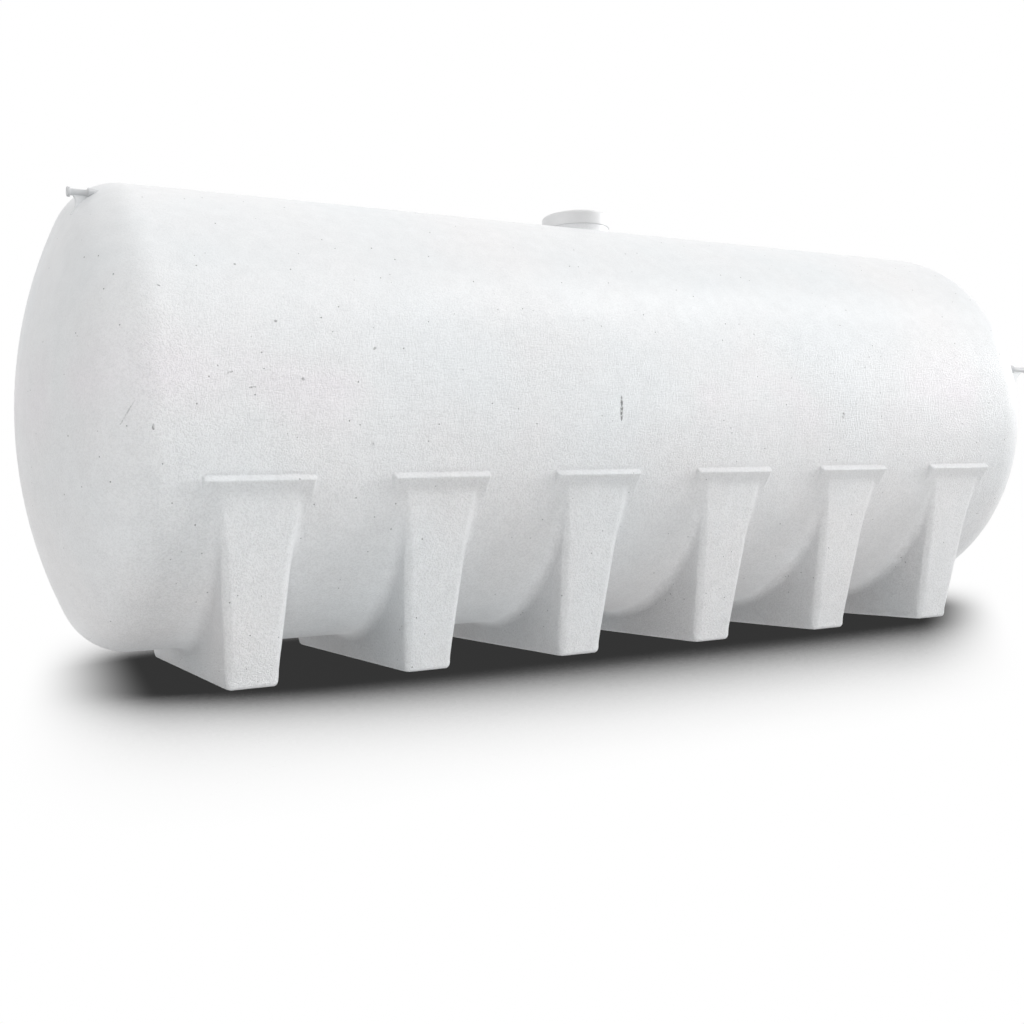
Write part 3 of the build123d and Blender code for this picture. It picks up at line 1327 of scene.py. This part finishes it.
@dataclass
class Studio:
    """The pale floor, the lamps and the camera that looks along the tank from its left.

    The fades are where the floor's painted shadow starts and stops to fade past an end, along X
    less a slant times Y, and the slant.
    """

    lens: float = 40.02
    sensor_width: float = 36.0
    sight: float = 200.0
    camera_place: Triple = (-3.3458, -5.6778, 0.6915)
    yaw: float = 27.9656
    pitch: float = -0.2993
    roll: float = -2.1781
    sky_light: float = 0.69
    floor_half_size: float = 60.0
    floor_light: tuple[float, float] = (0.17, 0.23)
    floor_light_from: float = 0.2
    shadow_reach: float = 2.2
    shadow_from: float = 0.48
    shadow_depth: float = 0.035
    shadow_samples: int = 24
    left_fade: Triple = (-2.35, -2.92, 0.115)
    right_fade: Triple = (2.92, 3.66, 1.17)

    def camera(self) -> None:
        """Places the camera: turned from +Y by the yaw, then tilted by the pitch and rolled."""
        data = bpy.data.cameras.new("camera")
        data.lens = self.lens
        data.sensor_width = self.sensor_width
        data.clip_end = self.sight
        yaw, pitch, roll = (math.radians(a) for a in (self.yaw, self.pitch, self.roll))
        level = Vector((math.sin(yaw), math.cos(yaw), 0))
        ahead = level * math.cos(pitch) - Vector((0, 0, math.sin(pitch)))
        right = Vector((math.cos(yaw), -math.sin(yaw), 0))
        up = right.cross(ahead)
        rolled_right = right * math.cos(roll) + up * math.sin(roll)
        rolled_up = up * math.cos(roll) - right * math.sin(roll)
        made = bpy.data.objects.new("camera", data)
        turned = Matrix((rolled_right, rolled_up, -ahead)).transposed()
        made.matrix_world = Matrix.Translation(self.camera_place) @ turned.to_4x4()
        bpy.context.scene.collection.objects.link(made)
        bpy.context.scene.camera = made

    @staticmethod
    def seen_ray(paint: Nodes) -> Socket:
        """Tells the rays that show the floor or the surround, also in a reflection.

        Args:
            paint: The nodes of the floor or of the surround.

        Returns:
            1 for such a ray, and 0 for one that only carries their light on.
        """
        rays = paint.add("ShaderNodeLightPath").outputs
        seen = paint.maths("MAXIMUM", rays["Is Camera Ray"], rays["Is Glossy Ray"])
        return paint.maths("MAXIMUM", seen, rays["Is Transmission Ray"])

    def floor(self) -> None:
        """A white floor that glows, with the tank's shadow painted into its glow.

        To the camera and to reflections it shines white, and less where the tank covers its
        sky: the open share runs through a smooth step, as a painted shadow. Past each end the
        painted shadow fades out. The rest of the scene gets a soft light from it, weaker where
        the tank covers it.
        """
        mesh = bpy.data.meshes.new("floor")
        size = self.floor_half_size
        corners = [(-size, -size, 0), (size, -size, 0), (size, size, 0), (-size, size, 0)]
        mesh.from_pydata(corners, [], [(0, 1, 2, 3)])
        made = bpy.data.objects.new("floor", mesh)
        bpy.context.scene.collection.objects.link(made)
        material = bpy.data.materials.new("floor_white")
        paint = Nodes(material)
        covered = paint.add("ShaderNodeAmbientOcclusion")
        covered.samples = self.shadow_samples
        covered.inputs["Distance"].default_value = self.shadow_reach
        open_share = covered.outputs["AO"]
        ease = "SMOOTHSTEP"
        # Painted shadow: the glow seen by the camera and in reflections drops where the tank covers
        # the floor's sky, and fades out past the ends
        lit = paint.fit(open_share, self.shadow_from, 1, self.shadow_depth, 1, ease)
        x, y, _ = paint.split(paint.place())
        for start, end, slant in (self.left_fade, self.right_fade):
            along = paint.maths("SUBTRACT", x, paint.times(y, slant))
            shade = paint.maths("SUBTRACT", 1.0, lit)
            shade = paint.times(shade, paint.fit(along, start, end, 1, 0, ease))
            lit = paint.maths("SUBTRACT", 1.0, shade)
        strength = paint.add("ShaderNodeMix")
        glow = paint.fit(open_share, self.floor_light_from, 1, *self.floor_light, ease)
        paint.give(self.seen_ray(paint), strength.inputs["Factor"])
        paint.give(glow, strength.inputs["A"])
        paint.give(lit, strength.inputs["B"])
        shine = paint.add("ShaderNodeEmission")
        paint.give(strength.outputs["Result"], shine.inputs["Strength"])
        paint.put_out("ShaderNodeOutputMaterial", shine.outputs["Emission"])
        mesh.materials.append(material)

    def sky(self) -> None:
        """An even white surround that lights the tank softly and shows as white."""
        world = bpy.data.worlds.new("surround")
        bpy.context.scene.world = world
        paint = Nodes(world)
        back = paint.add("ShaderNodeBackground")
        back.inputs["Color"].default_value = (1, 1, 1, 1)
        strength = paint.fit(self.seen_ray(paint), 0, 1, self.sky_light, 1.0)
        paint.give(strength, back.inputs["Strength"])
        paint.put_out("ShaderNodeOutputWorld", back.outputs["Background"])

    def lamp(self, lamp: Lamp, pieces: bpy.types.Collection) -> None:
        """A distant soft lamp that lights the tank's pieces only, so the floor stays even.

        Args:
            lamp: Its direction, spread and strength.
            pieces: What it lights, and what shades it.
        """
        data = bpy.data.lights.new(lamp.name, "SUN")
        data.energy = lamp.strength
        data.angle = math.radians(lamp.spread)
        around, rise = math.radians(lamp.around), math.radians(lamp.rise)
        level = Vector((math.cos(around), -math.sin(around), 0))
        to_lamp = level * math.cos(rise) + Vector((0, 0, math.sin(rise)))
        made = bpy.data.objects.new(lamp.name, data)
        made.rotation_mode = "QUATERNION"
        made.rotation_quaternion = to_lamp.to_track_quat("Z", "Y")
        made.light_linking.receiver_collection = pieces
        made.light_linking.blocker_collection = pieces
        bpy.context.scene.collection.objects.link(made)

    def build(self) -> None:
        """Sets up the lamps, the floor, the surround and the camera."""
        pieces = bpy.data.collections.new("lit_pieces")
        for piece in bpy.context.scene.objects:
            pieces.objects.link(piece)
        for lamp in LAMPS:
            self.lamp(lamp, pieces)
        self.floor()
        self.sky()
        self.camera()
        bpy.context.scene.view_settings.view_transform = "Standard"


MARKS = (
    Mark((-0.294, -1.099, 1.263), (-0.298, -1.096, 1.138), width=0.020, depth=0.75),
    Mark((1.133, -1.099, 1.190), (1.133, -1.098, 1.163), width=0.020, depth=0.70),
    Mark((-2.484, -1.089, 1.113), (-2.484, -1.087, 1.090), width=0.014, depth=0.65),
    Mark((-2.601, -1.038, 1.113), (-2.548, -1.075, 1.207), width=0.009, depth=0.35),
    Mark((-2.433, -1.001, 1.683), (-2.423, -1.004, 1.675), width=0.010, depth=0.50),
    Mark((-2.102, -0.938, 1.800), (-2.098, -0.938, 1.800), width=0.014, depth=0.55),
    Mark((-2.103, -1.099, 1.262), (-2.074, -1.099, 1.265), width=0.011, depth=0.60),
    Mark((-2.190, -1.096, 1.319), (-2.165, -1.095, 1.328), width=0.010, depth=0.55),
    Mark((-1.970, -1.052, 1.548), (-1.966, -1.052, 1.548), width=0.016, depth=0.60),
    Mark((-1.876, -1.097, 1.303), (-1.872, -1.097, 1.303), width=0.016, depth=0.65),
    Mark((-1.573, -1.083, 1.032), (-1.569, -1.083, 1.032), width=0.017, depth=0.65),
    Mark((-1.549, -1.078, 1.440), (-1.535, -1.078, 1.454), width=0.014, depth=0.40),
)
SHELL = Plastic(
    name="shell_polyethylene",
    colour=(0.825, 0.84, 0.85),
    roughness=0.36,
    grain_size=0.0095,
    grain_depth=0.0042,
    speck_share=0.30,
    grain_painted_shade=0.10,
    zoned_grain_and_reflection=True,
    marks=MARKS,
)
LID = Plastic(
    name="lid_polyethylene",
    colour=(0.80, 0.81, 0.815),
    roughness=0.42,
    grain_size=0.012,
    grain_depth=0.0006,
)
PIPE = Plastic(
    name="pipe_plastic",
    colour=(0.60, 0.61, 0.62),
    roughness=0.4,
    grain_size=0.010,
    grain_depth=0.0003,
)


def shared_rows(barrel: Barrel, foot: FootSizes) -> Array:
    """Angles round the axis, tighter at the feet's toes and at the ledges, the same both sides.

    Args:
        barrel: The barrel's sizes.
        foot: The feet's sizes.

    Returns:
        The angles, once round.
    """
    toe = barrel.angle_of(foot.base_half_depth, 0.0)
    nose_side = barrel.half_width(foot.ledge_nose) + foot.ledge_stand
    nose = barrel.angle_of(nose_side, foot.ledge_nose)
    face_middle = math.radians(52)
    degree = math.radians(1)
    peaks = [
        Peak(toe - 0.2 * degree, half_width=0.9 * degree, spacing=0.2 * degree),
        Peak(face_middle, half_width=18 * degree, spacing=3.0 * degree),
        Peak(nose - 0.6 * degree, half_width=2.4 * degree, spacing=0.3 * degree),
        Peak(nose + 0.2 * degree, half_width=0.7 * degree, spacing=0.2 * degree),
    ]
    half = spaced(0, math.pi, base=2.3 * degree, peaks=peaks)
    return np.concatenate([-half[:0:-1], half[:-1]])


def main() -> None:
    """Builds the tank's pieces from left to right, then the studio."""
    logging.basicConfig(level=logging.INFO, format="%(name)s: %(message)s")
    barrel = Barrel.from_frame()
    foot = FootSizes.from_frame()
    rows = shared_rows(barrel, foot)
    log.info("%d rows round the barrel", len(rows))
    shell, lid, pipe = (finish.material() for finish in (SHELL, LID, PIPE))
    feet = [n for n in range(1, MOST_FEET) if f"foot_{n}" in frame["nodes"]]
    middles = [sum(v.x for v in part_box(f"foot_{n}")) / 2 for n in feet]
    between = [(a + b) / 2 for a, b in zip(middles, middles[1:])]
    edges = [-barrel.half_length, *between, barrel.half_length]
    for n, left, right in zip(feet, edges, edges[1:]):
        MouldedBay(n, barrel, foot, rows, left, right).build(shell)
    for hand in Hand:
        DishedEnd(hand, barrel, rows).build(shell)
        PipeStub(hand, barrel).build(pipe, shell)
    ManholeNeck(barrel).build(shell)
    ManholeLid().build(lid)
    Studio().build()


if __name__ == "__main__":
    main()
